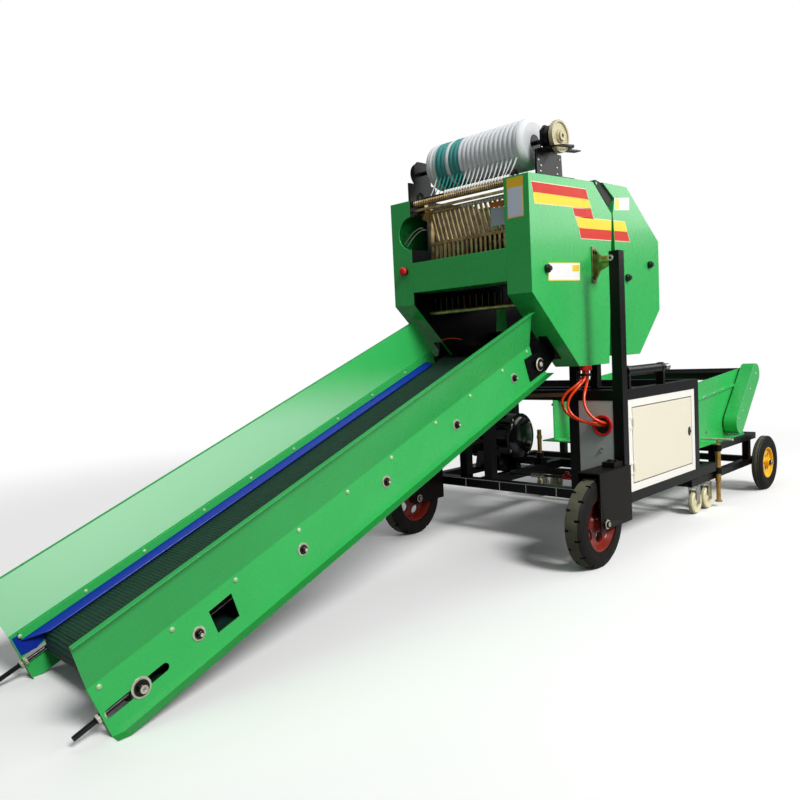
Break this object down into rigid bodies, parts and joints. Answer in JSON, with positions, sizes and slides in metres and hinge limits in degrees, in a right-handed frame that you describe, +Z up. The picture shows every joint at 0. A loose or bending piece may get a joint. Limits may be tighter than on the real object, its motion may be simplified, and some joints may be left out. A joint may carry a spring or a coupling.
{
  "type": "round baler",
  "caption": "Small round baler on wheels with a feed belt, an octagonal baling chamber, a net roll on top and a bale wrapping table behind.",
  "frame": {"origin": "on the ground under the middle of the machine's length and width", "axes": "+Y to the rear, from the feed belt to the wrapping table; +X to the cabinet side; +Z up"},
  "size_m": [1.26, 4.614, 2.0449],
  "materials": {
    "green": "gloss enamel",
    "black": "gloss enamel",
    "cream": "satin enamel",
    "zinc": "yellow zinc plate",
    "steel": "bright steel",
    "dark_steel": "oiled steel",
    "belt": "matt ribbed rubber",
    "blue": "rubber skirt",
    "net": "knitted net",
    "tyre": "rubber",
    "red": "gloss enamel",
    "yellow": "gloss enamel",
    "nylon": "cast nylon",
    "gold": "yellow zinc plate",
    "hose": "smooth hose",
    "black_plastic": "moulded plastic"
  },
  "bodies": {
    "frame": {"air_cylinder": "black", "bearing_caps": "black_plastic", "belt_skirts": "blue", "belt_tensioners": "dark_steel", "cabinet": "cream", "chain_case": "green", "conveyor_bed": "dark_steel", "conveyor_belt": "belt", "conveyor_drums": "steel", "conveyor_sides": "green", "frame_base": "black", "frame_top": "black", "front_cover": "green", "head_brackets": "black", "hose_a": "hose", "hose_b": "hose", "hose_c": "hose", "hose_rings": "red", "housing_far": "green", "housing_near": "green", "infeed_comb": "steel", "infeed_throat": "black", "jack": "gold", "motor": "black", "net_feeder": "zinc", "net_stand": "black", "post_brackets": "zinc", "press_rollers": "dark_steel", "side_posts": "black", "trolley_frame": "black", "wheel_boxes": "black", "wrap_table": "green"},
    "tailgate": {"tailgate_sides": "green", "tailgate_rollers": "dark_steel", "tailgate_caps": "black_plastic", "hinge_arms": "black"},
    "cabinet_door": {"cabinet_door": "cream", "door_lock": "steel"},
    "net_roll": {"net_roll": "net", "net_spindle": "steel"},
    "jack_leg": {"jack_leg": "gold"},
    "air_rod": {"air_cylinder_rod": "steel"},
    "table_roller_front": {"table_roller_front": "black"},
    "table_roller_rear": {"table_roller_rear": "black"},
    "front_wheel_near": {"front_tyre_near": "tyre", "front_rim_near": "red"},
    "rear_wheel_near": {"rear_tyre_near": "tyre", "rear_rim_near": "yellow"},
    "caster_fork_near_a": {"caster_fork_near_a": "steel"},
    "caster_wheel_near_a": {"caster_wheel_near_a": "nylon"},
    "caster_fork_near_b": {"caster_fork_near_b": "steel"},
    "caster_wheel_near_b": {"caster_wheel_near_b": "nylon"},
    "front_wheel_far": {"front_tyre_far": "tyre", "front_rim_far": "red"},
    "rear_wheel_far": {"rear_tyre_far": "tyre", "rear_rim_far": "yellow"},
    "caster_fork_far_a": {"caster_fork_far_a": "steel"},
    "caster_wheel_far_a": {"caster_wheel_far_a": "nylon"},
    "caster_fork_far_b": {"caster_fork_far_b": "steel"},
    "caster_wheel_far_b": {"caster_wheel_far_b": "nylon"}
  },
  "joints": [
    {"name": "tailgate_hinge", "type": "hinge", "parent": "frame", "child": "tailgate", "pos_m": [0, 0.36498, 1.776], "axis": [1, 0, 0], "range_deg": [0, 50]},
    {"name": "cabinet_door_hinge", "type": "hinge", "parent": "frame", "child": "cabinet_door", "pos_m": [0.604, 0.27598, 0.51], "axis": [0, 0, -1], "range_deg": [0, 110]},
    {"name": "net_roll_spin", "type": "hinge", "parent": "frame", "child": "net_roll", "pos_m": [0, -0.01302, 1.93], "axis": [1, 0, 0], "continuous": true},
    {"name": "table_roller_front_spin", "type": "hinge", "parent": "frame", "child": "table_roller_front", "pos_m": [0, 1.32698, 0.66], "axis": [1, 0, 0], "continuous": true},
    {"name": "table_roller_rear_spin", "type": "hinge", "parent": "frame", "child": "table_roller_rear", "pos_m": [0, 2.20698, 0.742], "axis": [1, 0, 0], "continuous": true},
    {"name": "jack_slide", "type": "slide", "parent": "frame", "child": "jack_leg", "axis": [0, 0, -1], "range_m": [-0.045, 0.027]},
    {"name": "air_rod_slide", "type": "slide", "parent": "frame", "child": "air_rod", "axis": [0, 1, 0], "range_m": [0, 0.08]},
    {"name": "front_wheel_near_spin", "type": "hinge", "parent": "frame", "child": "front_wheel_near", "pos_m": [0.555, -0.02802, 0.2], "axis": [1, 0, 0], "continuous": true},
    {"name": "rear_wheel_near_spin", "type": "hinge", "parent": "frame", "child": "rear_wheel_near", "pos_m": [0.579, 2.12698, 0.172], "axis": [1, 0, 0], "continuous": true},
    {"name": "caster_swivel_near_a", "type": "hinge", "parent": "frame", "child": "caster_fork_near_a", "pos_m": [0.5, 1.19898, 0.15], "axis": [0, 0, 1], "continuous": true},
    {"name": "caster_wheel_near_a_spin", "type": "hinge", "parent": "caster_fork_near_a", "child": "caster_wheel_near_a", "pos_m": [0.5, 1.21298, 0.066], "axis": [1, 0, 0], "continuous": true},
    {"name": "caster_swivel_near_b", "type": "hinge", "parent": "frame", "child": "caster_fork_near_b", "pos_m": [0.5, 1.36498, 0.15], "axis": [0, 0, 1], "continuous": true},
    {"name": "caster_wheel_near_b_spin", "type": "hinge", "parent": "caster_fork_near_b", "child": "caster_wheel_near_b", "pos_m": [0.5, 1.37898, 0.066], "axis": [1, 0, 0], "continuous": true},
    {"name": "front_wheel_far_spin", "type": "hinge", "parent": "frame", "child": "front_wheel_far", "pos_m": [-0.555, -0.02802, 0.2], "axis": [1, 0, 0], "continuous": true},
    {"name": "rear_wheel_far_spin", "type": "hinge", "parent": "frame", "child": "rear_wheel_far", "pos_m": [-0.579, 2.12698, 0.172], "axis": [1, 0, 0], "continuous": true},
    {"name": "caster_swivel_far_a", "type": "hinge", "parent": "frame", "child": "caster_fork_far_a", "pos_m": [-0.5, 1.19898, 0.15], "axis": [0, 0, 1], "continuous": true},
    {"name": "caster_wheel_far_a_spin", "type": "hinge", "parent": "caster_fork_far_a", "child": "caster_wheel_far_a", "pos_m": [-0.5, 1.21298, 0.066], "axis": [1, 0, 0], "continuous": true},
    {"name": "caster_swivel_far_b", "type": "hinge", "parent": "frame", "child": "caster_fork_far_b", "pos_m": [-0.5, 1.36498, 0.15], "axis": [0, 0, 1], "continuous": true},
    {"name": "caster_wheel_far_b_spin", "type": "hinge", "parent": "caster_fork_far_b", "child": "caster_wheel_far_b", "pos_m": [-0.5, 1.37898, 0.066], "axis": [1, 0, 0], "continuous": true}
  ]
}
